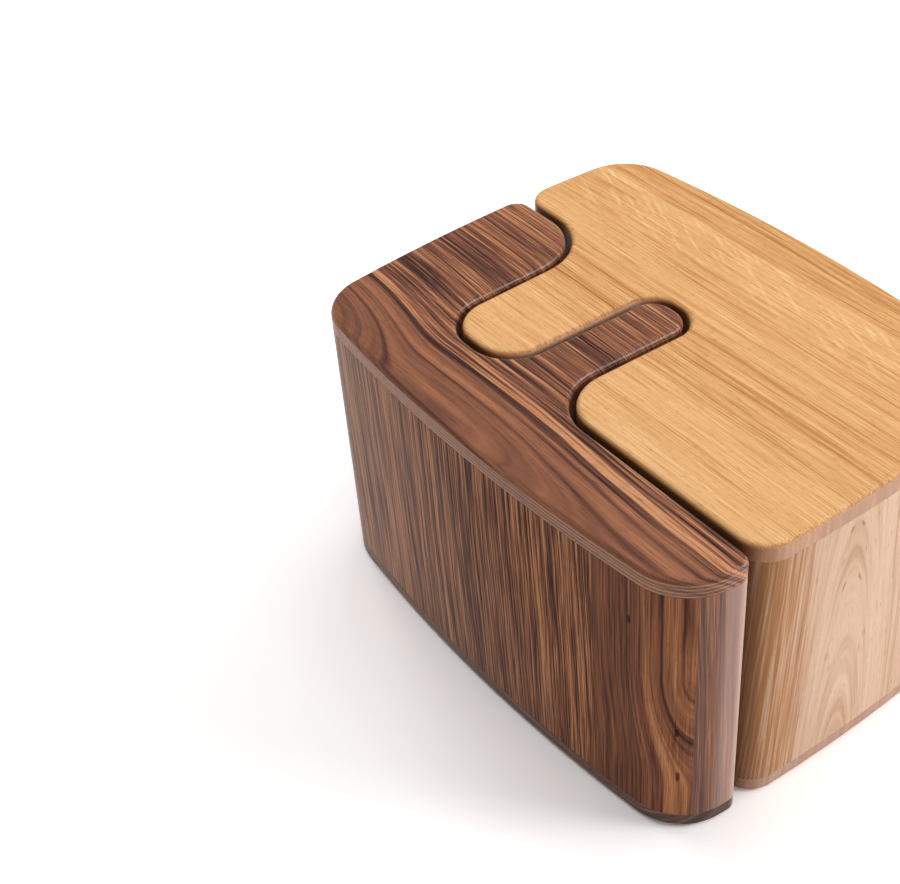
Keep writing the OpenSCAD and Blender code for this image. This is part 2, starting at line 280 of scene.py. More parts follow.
def select_in_edit(obj, kind, test):
    """Selects the vertices, edges or faces of a mesh in edit mode whose test holds."""
    bpy.ops.mesh.select_all(action="DESELECT")
    bpy.ops.object.mode_set(mode="OBJECT")
    for item in getattr(obj.data, kind):
        item.select = test(item)
    bpy.ops.object.mode_set(mode="EDIT")


def upright_plane(name, depth, low, high):
    """A rectangle in the XZ plane: its outer edge at x = 0 and its depth along +X."""
    deselect()
    bpy.ops.mesh.primitive_plane_add(size=1, rotation=(math.pi / 2, 0, 0))
    obj = bpy.context.object
    obj.name = name
    obj.data.name = name
    obj.scale = (depth * MM, (high - low) * MM, 1)
    obj.location = (depth * MM / 2, 0, (low + high) * MM / 2)
    bpy.ops.object.transform_apply(location=True, rotation=True, scale=True)
    return obj


def round_outer_corner(obj, z, radius, segments):
    """Rounds the profile's outer corner at height z."""
    edit(obj, "VERT")
    select_in_edit(obj, "vertices", lambda v: (
        abs(v.co.x) < SAME_PLACE and abs(v.co.z - z * MM) < SAME_PLACE))
    bpy.ops.mesh.bevel(offset=radius * MM, offset_type="OFFSET", segments=segments,
                       profile=0.5, affect="VERTICES")
    bpy.ops.object.mode_set(mode="OBJECT")


def place_profile(obj, step):
    """Stands the profile at the start of a path step, its depth pointing inwards."""
    if step[0] == "spin":
        a = step[1]
        at = start_point(a)
        inward = -a.bend * a.start
    else:
        at = step[1]
        inward = step[3]
    obj.location = (at.x * MM, at.y * MM, 0)
    obj.rotation_euler = (0, 0, math.atan2(inward.y, inward.x))
    only(obj)
    bpy.ops.object.transform_apply(location=True, rotation=True, scale=True)


def sweep(obj, steps):
    """Spins and extrudes the profile's edges along the path."""
    edit(obj, "EDGE")
    bpy.ops.mesh.select_all(action="SELECT")
    for step in steps:
        if step[0] == "spin":
            a = step[1]
            angle = turn_angle(a)
            size = BOW_STEP if a.side else ROUND_STEP
            count = max(6, math.ceil(abs(angle) * a.radius / size))
            bpy.ops.mesh.spin(steps=count, dupli=False, angle=-angle,
                              center=(a.centre.x * MM, a.centre.y * MM, 0), axis=(0, 0, 1))
        else:
            move = (step[2] - step[1]) * MM
            bpy.ops.mesh.extrude_region_move(
                TRANSFORM_OT_translate={"value": (move.x, move.y, 0)})
    bpy.ops.object.mode_set(mode="OBJECT")


def face_outwards(obj):
    edit(obj, "FACE")
    bpy.ops.mesh.select_all(action="SELECT")
    bpy.ops.mesh.normals_make_consistent(inside=False)
    bpy.ops.object.mode_set(mode="OBJECT")


def smooth(obj):
    """Smooth rounds beside faces that stay flat."""
    only(obj)
    bpy.ops.object.shade_smooth_by_angle(angle=SMOOTH_ANGLE)
    bpy.ops.object.modifier_add(type="WEIGHTED_NORMAL")
    weighted = obj.modifiers[-1]
    weighted.keep_sharp = True
    weighted.weight = 100
    bpy.ops.object.modifier_apply(modifier=weighted.name)


def board(name, arcs, low, high, low_r, high_r, round_steps=8):
    """A solid board with both its edges rounded, swept round the whole outline."""
    depth = max(low_r, high_r) + RIM_DEPTH
    obj = upright_plane(name, depth, low, high)
    round_outer_corner(obj, high, high_r, round_steps)
    round_outer_corner(obj, low, low_r, 4)
    # Only the outer skin is swept: the profile's inner side goes
    edit(obj, "VERT")
    select_in_edit(obj, "vertices", lambda v: v.co.x > (max(low_r, high_r) + 1) * MM)
    bpy.ops.mesh.delete(type="VERT")
    bpy.ops.object.mode_set(mode="OBJECT")
    steps = path_steps(arcs, 0, len(arcs))[:-1]
    place_profile(obj, steps[0])
    sweep(obj, steps)
    edit(obj, "VERT")
    bpy.ops.mesh.select_all(action="SELECT")
    bpy.ops.mesh.remove_doubles(threshold=WELD)
    for z in (high, low):
        select_in_edit(obj, "vertices", lambda v: abs(v.co.z - z * MM) < SAME_PLACE)
        bpy.ops.mesh.edge_face_add()
    bpy.ops.object.mode_set(mode="OBJECT")
    face_outwards(obj)
    smooth(obj)
    return obj


def wall(name, steps, start_at, low, high):
    """One upright piece of wall along the path, with its grain map along the outline."""
    obj = upright_plane(name, WALL_T, low, high)
    round_outer_corner(obj, high, SEAM_R, 2)
    round_outer_corner(obj, low, SEAM_R, 2)
    edit(obj, "FACE")
    bpy.ops.mesh.select_all(action="SELECT")
    bpy.ops.mesh.delete(type="ONLY_FACE")
    bpy.ops.object.mode_set(mode="OBJECT")
    place_profile(obj, steps[0])
    first = [v.index for v in obj.data.vertices]
    sweep(obj, steps)
    count = len(obj.data.vertices)
    for loop in (first, range(count - len(first), count)):
        edit(obj, "VERT")
        wanted = set(loop)
        select_in_edit(obj, "vertices", lambda v: v.index in wanted)
        bpy.ops.mesh.edge_face_add()
        bpy.ops.object.mode_set(mode="OBJECT")
    face_outwards(obj)
    smooth(obj)
    grain_map(obj, steps, start_at)
    return obj


def distance_along(steps, start_at, point):
    """How far along the outline a point of a wall lies, in mm."""
    at = start_at
    best = (math.inf, at)
    for step in steps:
        if step[0] == "spin":
            a = step[1]
            out = point - a.centre
            full = turn_angle(a)
            t = math.atan2(a.start.x * out.y - a.start.y * out.x, a.start.dot(out)) / full
            t_in = min(1, max(0, t))
            length = abs(full) * a.radius
            off = abs(out.length - a.radius) + abs(t - t_in) * length
        else:
            run = step[2] - step[1]
            length = run.length
            t = (point - step[1]).dot(run) / (length * length)
            t_in = min(1, max(0, t))
            off = abs((point - step[1]).dot(step[3])) + abs(t - t_in) * length
        best = min(best, (off, at + t_in * length))
        at += length
    return best[1]


def grain_map(obj, steps, start_at):
    """A UV map in metres: along the outline, and up the wall."""
    layer = obj.data.uv_layers.new(name="grain")
    across = [distance_along(steps, start_at, v.co.xy / MM) * MM for v in obj.data.vertices]
    for loop in obj.data.loops:
        i = loop.vertex_index
        layer.data[loop.index].uv = (across[i], obj.data.vertices[i].co.z)


# ------------------------------------------------------------------ shader helpers
def srgb(r, g, b):
    """A colour written as on screen, 0 to 255."""
    def channel(v):
        v /= 255
        return v / 12.92 if v <= 0.04045 else ((v + 0.055) / 1.055) ** 2.4
    return (channel(r), channel(g), channel(b), 1)


class Maker:
    """Adds nodes to a tree; an input is either a number or another node's socket."""

    def __init__(self, tree):
        self.tree = tree

    def add(self, kind, inputs=None, **settings):
        node = self.tree.nodes.new(kind)
        for key, value in settings.items():
            setattr(node, key, value)
        for key, value in (inputs or {}).items():
            self.feed(node.inputs[key], value)
        return node

    def feed(self, socket, value):
        if isinstance(value, bpy.types.NodeSocket):
            self.tree.links.new(value, socket)
        else:
            socket.default_value = value

    def coordinate(self, kind):
        return self.add("ShaderNodeTexCoord").outputs[kind]

    def math(self, operation, a, b=0.0):
        return self.add("ShaderNodeMath", {0: a, 1: b}, operation=operation).outputs[0]

    def plus(self, a, b):
        return self.math("ADD", a, b)

    def minus(self, a, b):
        return self.math("SUBTRACT", a, b)

    def times(self, a, b):
        return self.math("MULTIPLY", a, b)

    def hypot(self, a, b):
        return self.math("SQRT", self.plus(self.times(a, a), self.times(b, b)))

    def within(self, value, low, high):
        """1 where low < value < high, else 0."""
        return self.times(self.math("GREATER_THAN", value, low),
                          self.math("LESS_THAN", value, high))

    def combine(self, x, y, z):
        return self.add("ShaderNodeCombineXYZ", {0: x, 1: y, 2: z}).outputs[0]

    def split(self, vector):
        return self.add("ShaderNodeSeparateXYZ", {0: vector}).outputs

    def stretch(self, parts, rates):
        """A place for a noise, each part times its rate: a high rate means fine detail."""
        return self.combine(*(self.times(part, rate) for part, rate in zip(parts, rates)))

    def noise(self, vector, scale=1.0, detail=2.0, roughness=0.5):
        node = self.add("ShaderNodeTexNoise", {
            "Vector": vector, "Scale": scale, "Detail": detail, "Roughness": roughness})
        return node.outputs["Fac"]

    def range(self, value, low, high, to_low=0.0, to_high=1.0, kind="LINEAR"):
        node = self.add("ShaderNodeMapRange", {
            "Value": value, "From Min": low, "From Max": high,
            "To Min": to_low, "To Max": to_high}, interpolation_type=kind)
        return node.outputs["Result"]

    def pick(self, fac, a, b):
        """a where fac is 0 and b where it is 1."""
        return self.add("ShaderNodeMix", {0: fac, 2: a, 3: b}, data_type="FLOAT").outputs[0]

    def mix(self, fac, a, b, blend="MIX"):
        node = self.add("ShaderNodeMix", data_type="RGBA", blend_type=blend)
        self.feed(node.inputs["Factor"], fac)
        self.feed(node.inputs[6], a)
        self.feed(node.inputs[7], b)
        return node.outputs[2]

    def ramp(self, value, stops):
        node = self.add("ShaderNodeValToRGB", {"Fac": value})
        elements = node.color_ramp.elements
        while len(elements) < len(stops):
            elements.new(0.5)
        for element, (place, colour) in zip(elements, stops):
            element.position = place
            element.color = colour
        return node.outputs["Color"]


def group(name, inputs, outputs):
    """A shader node group with named sockets. Returns its tree, maker and group input."""
    tree = bpy.data.node_groups.new(name, "ShaderNodeTree")
    for label, kind, value in inputs:
        socket = tree.interface.new_socket(name=label, in_out="INPUT", socket_type=kind)
        if value is not None:
            socket.default_value = value
    for label, kind in outputs:
        tree.interface.new_socket(name=label, in_out="OUTPUT", socket_type=kind)
    maker = Maker(tree)
    return tree, maker, maker.add("NodeGroupInput").outputs


VALUE = "NodeSocketFloat"
VECTOR = "NodeSocketVector"


def add_tones(n, tone, parts):
    """Adds noise parts, each as (value, weight), to a tone. A noise of 0.5 adds nothing."""
    for value, weight in parts:
        tone = n.plus(tone, n.times(n.minus(value, 0.5), weight))
    return tone


def growth_rings():
    """How far a place is from the heart of the log, with the sway of a real trunk.
    Place is across the board, along its grain and down into it, in metres."""
    tree, n, given = group("growth_rings", [
        ("Place", VECTOR, None), ("Heart", VALUE, 0.0), ("Depth", VALUE, 0.1),
        ("Sway", VALUE, 0.004), ("Seed", VALUE, 0.0)], [("Ring", VALUE)])
    across, along, deep = n.split(given["Place"])
    moved = n.plus(along, n.times(given["Seed"], 3.7))
    slow = n.noise(n.stretch((across, moved, deep), (5, 2.6, 5)), detail=1.0)
    quick = n.noise(n.stretch((across, moved, deep), (34, 11, 34)))
    sway = n.times(add_tones(n, 0.0, [(slow, 1.0), (quick, 0.3)]), given["Sway"])
    from_heart = n.plus(n.minus(across, given["Heart"]), sway)
    ring = n.hypot(from_heart, n.plus(deep, given["Depth"]))
    n.feed(n.add("NodeGroupOutput").inputs["Ring"], ring)
    return tree


def grain_lines():
    """Streaks, fine lines, fibres and pores of sawn wood, along its growth rings."""
    tree, n, given = group("grain_lines", [
        ("Place", VECTOR, None), ("Ring", VALUE, 0.0), ("Seed", VALUE, 0.0),
        ("Streak Count", VALUE, 110.0), ("Line Count", VALUE, 300.0),
        ("Pore Length", VALUE, 0.02),
    ], [
        ("Broad", VALUE), ("Streak", VALUE), ("Line", VALUE), ("Fibre", VALUE), ("Pore", VALUE),
    ])
    across, along, deep = n.split(given["Place"])
    shift = n.times(given["Seed"], 5.3)
    moved = n.plus(along, shift)

    def along_ring(per_metre, lengthways, detail, roughness):
        place = n.combine(n.times(given["Ring"], per_metre), n.times(moved, lengthways), shift)
        return n.noise(place, detail=detail, roughness=roughness)

    broad = along_ring(60, 1.6, 1.0, 0.5)
    streak = along_ring(given["Streak Count"], 2.4, 2.0, 0.6)
    line = along_ring(given["Line Count"], 5.0, 2.0, 0.65)
    fibre = n.noise(n.stretch((across, moved, deep), (900, 11, 900)), roughness=0.7)
    dashes = n.noise(n.combine(n.times(across, 1100),
                               n.math("DIVIDE", moved, given["Pore Length"]),
                               n.times(deep, 1100)), detail=1.0)
    pore = n.range(dashes, 0.62, 0.72)
    out = n.add("NodeGroupOutput")
    for label, value in (("Broad", broad), ("Streak", streak), ("Line", line),
                         ("Fibre", fibre), ("Pore", pore)):
        n.feed(out.inputs[label], value)
    return tree


def pin_knot():
    """A small dark knot: 1 at its middle and 0 outside it."""
    tree, n, given = group("pin_knot", [
        ("Place", VECTOR, None), ("Across", VALUE, 0.0), ("Along", VALUE, 0.0),
        ("Width", VALUE, 0.002), ("Length", VALUE, 0.006)], [("Knot", VALUE)])
    across, along, _ = n.split(given["Place"])
    dx = n.math("DIVIDE", n.minus(across, given["Across"]), given["Width"])
    dy = n.math("DIVIDE", n.minus(along, given["Along"]), given["Length"])
    ragged = n.noise(given["Place"], 260.0)
    rough_away = add_tones(n, n.hypot(dx, dy), [(ragged, 0.9)])
    n.feed(n.add("NodeGroupOutput").inputs["Knot"], n.range(rough_away, 1.0, 0.45))
    return tree


RINGS, GRAIN, KNOT = growth_rings(), grain_lines(), pin_knot()


def use(n, tree, **values):
    """Places a group; a label such as Line_Count feeds its socket Line Count."""
    node = n.add("ShaderNodeGroup", node_tree=tree)
    for label, value in values.items():
        n.feed(node.inputs[label.replace("_", " ")], value)
    return node.outputs


def new_material(name):
    material = bpy.data.materials.new(name)
    material.use_nodes = True
    material.node_tree.nodes.clear()
    return material, Maker(material.node_tree)


WOOD_RELIEF = 0.0002  # m, depth of the fibres and pores
STEEL_RELIEF = 0.0001


def finish_material(n, colour, roughness, height, strength, gloss=0.35):
    """The shader of every material but the steel, with its relief."""
    bump = n.add("ShaderNodeBump", {"Strength": strength, "Distance": WOOD_RELIEF,
                                    "Height": height})
    shader = n.add("ShaderNodeBsdfPrincipled", {
        "Base Color": colour, "Roughness": roughness, "Normal": bump.outputs[0],
        "Specular IOR Level": gloss, "IOR": 1.46})
    n.add("ShaderNodeOutputMaterial", {"Surface": shader.outputs[0]})


def board_place(n):
    """Place in a board whose grain runs along Y: across, along, and up from the table's top."""
    x, y, z = n.split(n.coordinate("Object"))
    return n.combine(x, y, n.minus(z, TABLE_H * MM))


def wall_place(n):
    """Place on a wall whose grain runs up it: along the outline, and up."""
    return n.add("ShaderNodeUVMap", uv_map="grain").outputs[0]


def end_grain(n):
    """1 where a board whose grain runs along Y shows its end, 0 on its faces and sides."""
    y = n.split(n.coordinate("Normal"))["Y"]
    return n.range(n.math("ABSOLUTE", y), 0.35, 0.95)


def edge_band(n):
    """1 on a board's upright edges, 0 on its faces."""
    z = n.split(n.coordinate("Normal"))["Z"]
    return n.range(n.math("ABSOLUTE", z), 0.85, 0.3)


EDGE_LINE_HALF_GAP = 0.0021  # m, between the lines along a board's edge


def edge_lines(n, deep):
    """The thin lines of growth along a board's upright edge, 1 in each line."""
    wave = n.math("PINGPONG", n.plus(deep, 0.1), EDGE_LINE_HALF_GAP)
    return n.times(n.range(wave, 0.0014, 0.002), edge_band(n))


def joint_shade_masks(n):
    """Two masks for painted shade on a board's edge that faces -X, into the joint: its rounding,
    and its upright part.
    """
    x = n.split(n.coordinate("Normal"))["X"]
    return n.range(x, -0.35, -0.75), n.range(x, -0.72, -1.0)


def profile(n, place, low, high, bands):
    """A tone across the rings, from bold bands given as (place in mm, tone)."""
    stops = [((at - low) / (high - low), (tone, tone, tone, 1)) for at, tone in bands]
    return n.ramp(n.range(place, low * MM, high * MM), stops)


WALNUT_TONES = [(0.0, srgb(58, 33, 29)), (0.2, srgb(86, 52, 43)), (0.4, srgb(120, 75, 57)),
                (0.55, srgb(146, 93, 67)), (0.7, srgb(170, 110, 76)), (0.85, srgb(192, 127, 85)),
                (1.0, srgb(214, 153, 108))]
WALNUT_PORE = srgb(46, 28, 26)
PAINTED_SHEEN_COLOUR = srgb(216, 188, 174)  # painted sheen, laid where walnut is seen edge-on


def lay_stains_and_painted_light(n, colour, stains_and_painted_light):
    """Lays overlays, each as (mask, amount, colour), over a colour: the wood's own colour marks,
    and painted shade, sheen and highlights.
    """
    for mask, amount, overlay_colour in stains_and_painted_light:
        colour = n.mix(n.times(mask, amount), colour, overlay_colour)
    return colour


def finish_walnut(n, tone, g, pores=0.5, gloss=0.6, haze=0.32, stains_and_painted_light=()):
    """Walnut from its tone and grain; haze is how pale a painted sheen turns it where it is seen
    edge-on.
    """
    base = n.ramp(tone, WALNUT_TONES)
    fibred = n.mix(0.3, base, n.ramp(g["Fibre"], [(0.3, (0.6, 0.56, 0.54, 1)),
                                                  (0.7, (1, 1, 1, 1))]), "MULTIPLY")
    colour = n.mix(n.times(g["Pore"], pores), fibred, WALNUT_PORE)
    colour = lay_stains_and_painted_light(n, colour, stains_and_painted_light)
    # Painted sheen: pale colour laid where the surface is seen edge-on, stronger on the grain's
    # lines
    facing = n.add("ShaderNodeLayerWeight", {"Blend": 0.5}).outputs["Facing"]
    painted_sheen = n.times(n.range(facing, 0.56, 0.95, 0.0, haze),
                   n.range(g["Line"], 0.3, 0.7, 0.5, 1.35))
    colour = n.mix(painted_sheen, colour, PAINTED_SHEEN_COLOUR)
    roughness = n.range(g["Fibre"], 0.2, 0.8, 0.28, 0.4)
    height = n.minus(n.times(g["Fibre"], 0.4), g["Pore"])
    finish_material(n, colour, roughness, height, 0.3, gloss=gloss)


# Bold bands of the walnut plank: distance from the heart in mm, and tone
PLANK_BANDS = [
    (50, 0.57), (66.6, 0.53), (67.6, 0.24), (68.4, 0.57), (74.2, 0.51), (75.2, 0.14), (76.2, 0.57),
    (83.6, 0.51), (84.6, 0.22), (85.6, 0.62), (90.4, 0.66), (91.4, 0.2), (92.6, 0.7), (94.8, 0.66),
    (95.8, 0.2), (99.4, 0.22), (100.4, 0.86), (106, 0.78), (107.4, 0.46), (112, 0.42), (116, 0.52),
    (124, 0.34), (127.5, 0.66), (131, 0.46), (141, 0.36), (145, 0.6), (150, 0.4), (165, 0.56),
    (192, 0.26), (200, 0.36), (206, 0.52), (320, 0.56)]


def walnut_board(name, seed, heart, bold, edge_tone):
    """Walnut cut across the log: calm arches over its heart, tight streaks beside it.
    Bold is 1 for the figured top and less for a quieter board."""
    material, n = new_material(name)
    place = board_place(n)
    across, along, deep = n.split(place)
    # The board isn't quite along the log, so its rings close into arches
    at_back = n.range(along, 0.29, 0.13, 0.056, 0.076, "SMOOTHSTEP")
    depth = n.plus(at_back, n.range(along, 0.05, -0.22, 0.0, 0.008, "SMOOTHSTEP"))
    ring = use(n, RINGS, Place=place, Heart=heart, Depth=depth, Sway=0.009, Seed=seed)["Ring"]
    g = use(n, GRAIN, Place=place, Ring=ring, Seed=seed, Streak_Count=210.0, Line_Count=520.0)
    bands = profile(n, ring, 50, 320, PLANK_BANDS)
    calm = n.times(n.range(ring, 0.088, 0.105, 0.27, 1.0), 0.4 + 0.6 * bold)
    noise = add_tones(n, 0.0, [(g["Streak"], 1.4), (g["Line"], 2.6), (g["Fibre"], 1.2)])
    steady = n.plus(n.times(bands, bold), 0.5 * (1 - bold))
    tone = n.plus(steady, n.times(noise, calm))
    heartwood = use(n, KNOT, Place=place, Across=-0.112, Along=0.25,
                    Width=0.022, Length=0.062)["Knot"]
    tone = n.minus(tone, n.times(heartwood, 0.15))
    tone = n.minus(tone, n.times(end_grain(n), 0.22))
    tone = n.plus(tone, n.times(edge_band(n), edge_tone))
    tone = n.plus(tone, n.times(edge_lines(n, deep), 0.55 * bold))
    finish_walnut(n, tone, g)
    return material


# Bold bands of the walnut side: place along the outline in mm, and tone
SIDE_BANDS = [
    (-30, 0.64), (4, 0.82), (10, 0.55), (26, 0.46), (40, 0.57), (47, 0.30), (53, 0.57), (86, 0.53),
    (91, 0.89), (97, 0.92), (101, 0.49), (130, 0.46), (164, 0.41), (171, 0.32), (174, 0.95),
    (179, 0.95), (182, 0.27), (190, 0.41), (196, 0.66), (202, 0.36), (255, 0.36), (275, 0.6),
    (282, 0.44), (325, 0.44), (338, 0.58), (350, 0.5), (388, 0.53), (392, 0.74), (396, 0.36),
    (414, 0.49), (640, 0.55)]
# The same for the flat-sawn stave beside it, from its own heart
STAVE_BANDS = [
    (48, 0.52), (50.6, 0.5), (51.2, 0.26), (51.9, 0.56), (58.8, 0.56), (60.2, 0.16), (61.2, 0.5),
    (66.4, 0.48), (67.2, 0.3), (68, 0.68), (73.8, 0.7), (75, 0.5), (76, 0.24), (77.4, 0.42),
    (87, 0.42), (88.2, 0.24), (90, 0.36), (100, 0.4), (106, 0.3), (112, 0.42), (130, 0.4)]
# And for the straight-grained stave round the nose
NOSE_BANDS = [
    (530, 0.4), (534, 0.3), (539, 0.46), (547, 0.42), (550, 0.16), (553, 0.38), (560, 0.48),
    (566, 0.34), (575, 0.5), (590, 0.4), (640, 0.44)]
# Where these two staves start and end along the outline, in metres
STAVE_START, NOSE_START, NOSE_END = 0.4175, 0.531, 0.64
# Knots in the flat-sawn stave: along the outline, up, width and length, in metres
PIN_KNOTS = [(0.515, 0.143, 0.0026, 0.007), (0.517, 0.079, 0.0028, 0.009),
             (0.4635, 0.272, 0.0024, 0.006)]


def walnut_wall_material():
    """Walnut walls with upright grain, and two staves of their own beside the joint."""
    material, n = new_material("walnut_wall")
    place = wall_place(n)
    across, up, _ = n.split(place)
    straight = use(n, RINGS, Place=place, Heart=-2.0, Depth=0.0, Sway=0.014, Seed=1.7)["Ring"]
    # Counted from the outline's start again, with the grain leaning by 10 mm up the wall
    straight = n.plus(straight, n.range(up, 0.34, 0.0, -2.0, -2.01))
    depth = n.range(up, 0.22, 0.06, 0.049, 0.067, "SMOOTHSTEP")
    arched = use(n, RINGS, Place=place, Heart=0.535, Depth=depth, Sway=0.011, Seed=0.4)["Ring"]
    in_stave = n.within(across, STAVE_START, NOSE_START)
    at_nose = n.within(across, NOSE_START, NOSE_END)
    past_nose = n.math("GREATER_THAN", across, NOSE_END)
    ring = n.pick(in_stave, straight, arched)
    g = use(n, GRAIN, Place=place, Ring=ring, Seed=2.3, Streak_Count=190.0, Line_Count=500.0)
    side = profile(n, straight, -30, 640, SIDE_BANDS)
    far_side = n.pick(past_nose, side, 0.42)
    stave = profile(n, arched, 48, 130, STAVE_BANDS)
    nose = profile(n, straight, 530, 640, NOSE_BANDS)
    bands = n.pick(at_nose, n.pick(in_stave, far_side, stave), nose)
    calm = n.pick(in_stave, 1.0, 0.4)
    calm = n.pick(at_nose, calm, 0.6)
    calm = n.pick(past_nose, calm, 0.5)
    noise = add_tones(n, 0.0, [(g["Broad"], 0.5), (g["Streak"], 0.8),
                               (g["Line"], 3.0), (g["Fibre"], 2.0)])
    tone = n.plus(bands, n.times(noise, calm))
    for knot_across, knot_up, width, length in PIN_KNOTS:
        knot = use(n, KNOT, Place=place, Across=knot_across, Along=knot_up,
                   Width=width, Length=length)["Knot"]
        tone = n.minus(tone, n.times(knot, 0.5))
    # Painted sheen greys the nose stave, and a painted highlight lightens its rim where it turns
    # edge-on
    x = n.split(n.coordinate("Normal"))["X"]
    rim_highlight = n.times(n.range(x, -0.26, 0.0), n.range(x, 0.99, 0.85))
    finish_walnut(n, n.plus(tone, 0.1), g, pores=0.45, gloss=0.05, haze=0.74, stains_and_painted_light=(
        (at_nose, 0.4, srgb(140, 116, 108)),
        (n.times(at_nose, rim_highlight), 0.56, srgb(206, 176, 166))))
    return material


OAK_TONES = [(0.0, srgb(170, 110, 60)), (0.25, srgb(202, 143, 87)), (0.5, srgb(229, 173, 113)),
             (0.75, srgb(240, 189, 133)), (1.0, srgb(251, 214, 165))]
# Paler, pinker oak for the walls and base: partly the wood's own colour, partly a painted sheen of
# the sides
PALE_OAK_TONES = [(0.0, srgb(156, 110, 80)), (0.25, srgb(192, 150, 119)),
                  (0.5, srgb(220, 185, 157)), (0.75, srgb(231, 199, 173)),
                  (1.0, srgb(240, 213, 190))]


def finish_oak(n, tone, tones, g, pore_colour, pores=0.5, gloss=0.3, stains_and_painted_light=()):
    """Oak from its tone, the colours of its tones and its grain."""
    base = n.ramp(tone, tones)
    fibred = n.mix(0.2, base, n.ramp(g["Fibre"], [(0.3, (0.66, 0.58, 0.5, 1)),
                                                  (0.7, (1, 1, 1, 1))]), "MULTIPLY")
    colour = n.mix(n.times(g["Pore"], pores), fibred, pore_colour)
    colour = lay_stains_and_painted_light(n, colour, stains_and_painted_light)
    roughness = n.range(g["Fibre"], 0.2, 0.8, 0.36, 0.5)
    height = n.minus(n.times(g["Fibre"], 0.4), g["Pore"])
    finish_material(n, colour, roughness, height, 0.25, gloss=gloss)


# Lines and staves of the oak top: place across it in mm, and tone
OAK_BANDS = [
    (-145, 0.58), (-60, 0.58), (-42, 0.54), (-39, 0.74), (-37, 0.5), (-35, 0.7), (-32, 0.52),
    (4, 0.48), (8, 0.3), (9.5, 0.0), (11, 0.36), (17, 0.34), (20, 0.48), (38, 0.44),
    (40, 0.16), (43, 0.5), (60, 0.46), (62, 0.32), (64, 0.52), (97, 0.5), (99, 0.32),
    (101, 0.5), (160, 0.52), (181, 0.56), (183, 0.38), (188, 0.5), (190, 0.2), (193, 0.48),
    (214, 0.42), (216, 0.16), (220, 0.44), (250, 0.42)]
FLECK_SIN, FLECK_COS = 0.36, 0.93  # the slant of the ray flecks from the grain


def ray_flecks(n, place):
    """Pale slanted strokes where the saw met the rays, on one stave of the top."""
    across, along, _ = n.split(place)
    beside = n.minus(n.times(across, FLECK_COS), n.times(along, FLECK_SIN))
    length = n.plus(n.times(across, FLECK_SIN), n.times(along, FLECK_COS))
    strokes = n.noise(n.combine(n.times(beside, 170), n.times(length, 20), 0.3), detail=1.0)
    stave = n.times(n.range(across, 0.1, 0.14), n.math("LESS_THAN", across, 0.181))
    return n.times(n.range(strokes, 0.53, 0.68), stave)


def oak_board(name, seed, tones, bold, pore_colour):
    """Oak cut along a ray: straight lines, and strokes where bold is high."""
    material, n = new_material(name)
    place = board_place(n)
    ring = use(n, RINGS, Place=place, Heart=-2.0, Depth=0.0, Sway=0.022, Seed=seed)["Ring"]
    ring = n.minus(ring, 2.0)  # counted from the table's middle again
    g = use(n, GRAIN, Place=place, Ring=ring, Seed=seed, Streak_Count=180.0, Line_Count=640.0,
            Pore_Length=0.012)
    bands = profile(n, ring, -145, 250, OAK_BANDS)
    steady = n.plus(n.times(bands, bold), 0.5 * (1 - bold))
    tone = add_tones(n, steady, [(g["Broad"], 0.3), (g["Streak"], 0.4),
                                 (g["Line"], 0.85), (g["Fibre"], 1.3)])
    tone = n.plus(tone, n.times(ray_flecks(n, place), 0.24 * bold))
    rounded = n.times(end_grain(n), n.range(edge_band(n), 0.9, 0.4))
    tone = n.minus(tone, n.times(rounded, 0.5))
    # Painted shade darkens the rounding and upright part of the edge that faces the joint; the
    # ends' colour is the end grain's own
    rounding, upright = joint_shade_masks(n)
    ends = n.times(end_grain(n), edge_band(n))
    ends = n.times(ends, n.range(g["Streak"], 0.35, 0.65, 0.55, 1.2))
    finish_oak(n, tone, tones, g, pore_colour, stains_and_painted_light=(
        (ends, 0.9, srgb(184, 144, 124)), (rounding, 0.5, srgb(158, 98, 52)),
        (upright, 0.86, srgb(50, 29, 14))))
    return material


def oak_wall_material():
    """Oak walls, pale partly in their own colour and partly with painted sheen, warmer and tighter
    in grain at the front corner beside the joint, and darkened with painted shade where they face
    the joint.
    """
    material, n = new_material("oak_wall")
    place = wall_place(n)
    across, up, _ = n.split(place)
    depth = n.range(up, 0.0, 0.34, 0.04, 0.062)
    arched = use(n, RINGS, Place=place, Heart=1.82, Depth=depth, Sway=0.012, Seed=5.6)["Ring"]
    g = use(n, GRAIN, Place=place, Ring=arched, Seed=5.6, Streak_Count=150.0, Line_Count=560.0,
            Pore_Length=0.02)
    leaning = n.minus(across, n.times(up, 0.06))
    corner = n.noise(n.combine(n.times(leaning, 420), n.times(up, 7), 0.5))
    # The front corner beside the joint, by its place along the outline
    at_corner = n.times(n.range(across, 1.66, 1.70), n.range(across, 1.79, 1.735))
    tone = add_tones(n, 0.52, [(g["Broad"], 0.25), (g["Streak"], 0.5), (g["Line"], 0.85)])
    striped = add_tones(n, 0.38, [(corner, 2.3), (g["Fibre"], 0.9)])
    tone = n.pick(at_corner, tone, striped)
    dark_dash = n.noise(n.combine(n.times(arched, 900), n.times(up, 36), 0.9), detail=1.0)
    tone = n.minus(tone, n.times(n.range(dark_dash, 0.68, 0.77), 0.4))
    warm = n.times(at_corner, n.range(corner, 0.66, 0.44, 0.6, 0.95))
    x = n.split(n.coordinate("Normal"))["X"]
    # Painted shade: where a wall faces -X, into the joint, it is darkened; the warm corner colour
    # is the wood's own
    finish_oak(n, tone, PALE_OAK_TONES, g, srgb(140, 98, 74), pores=0.3, gloss=0.12, stains_and_painted_light=(
        (warm, 0.8, srgb(172, 116, 68)), (n.range(x, -0.5, -1.0), 0.8, srgb(84, 50, 26))))
    return material


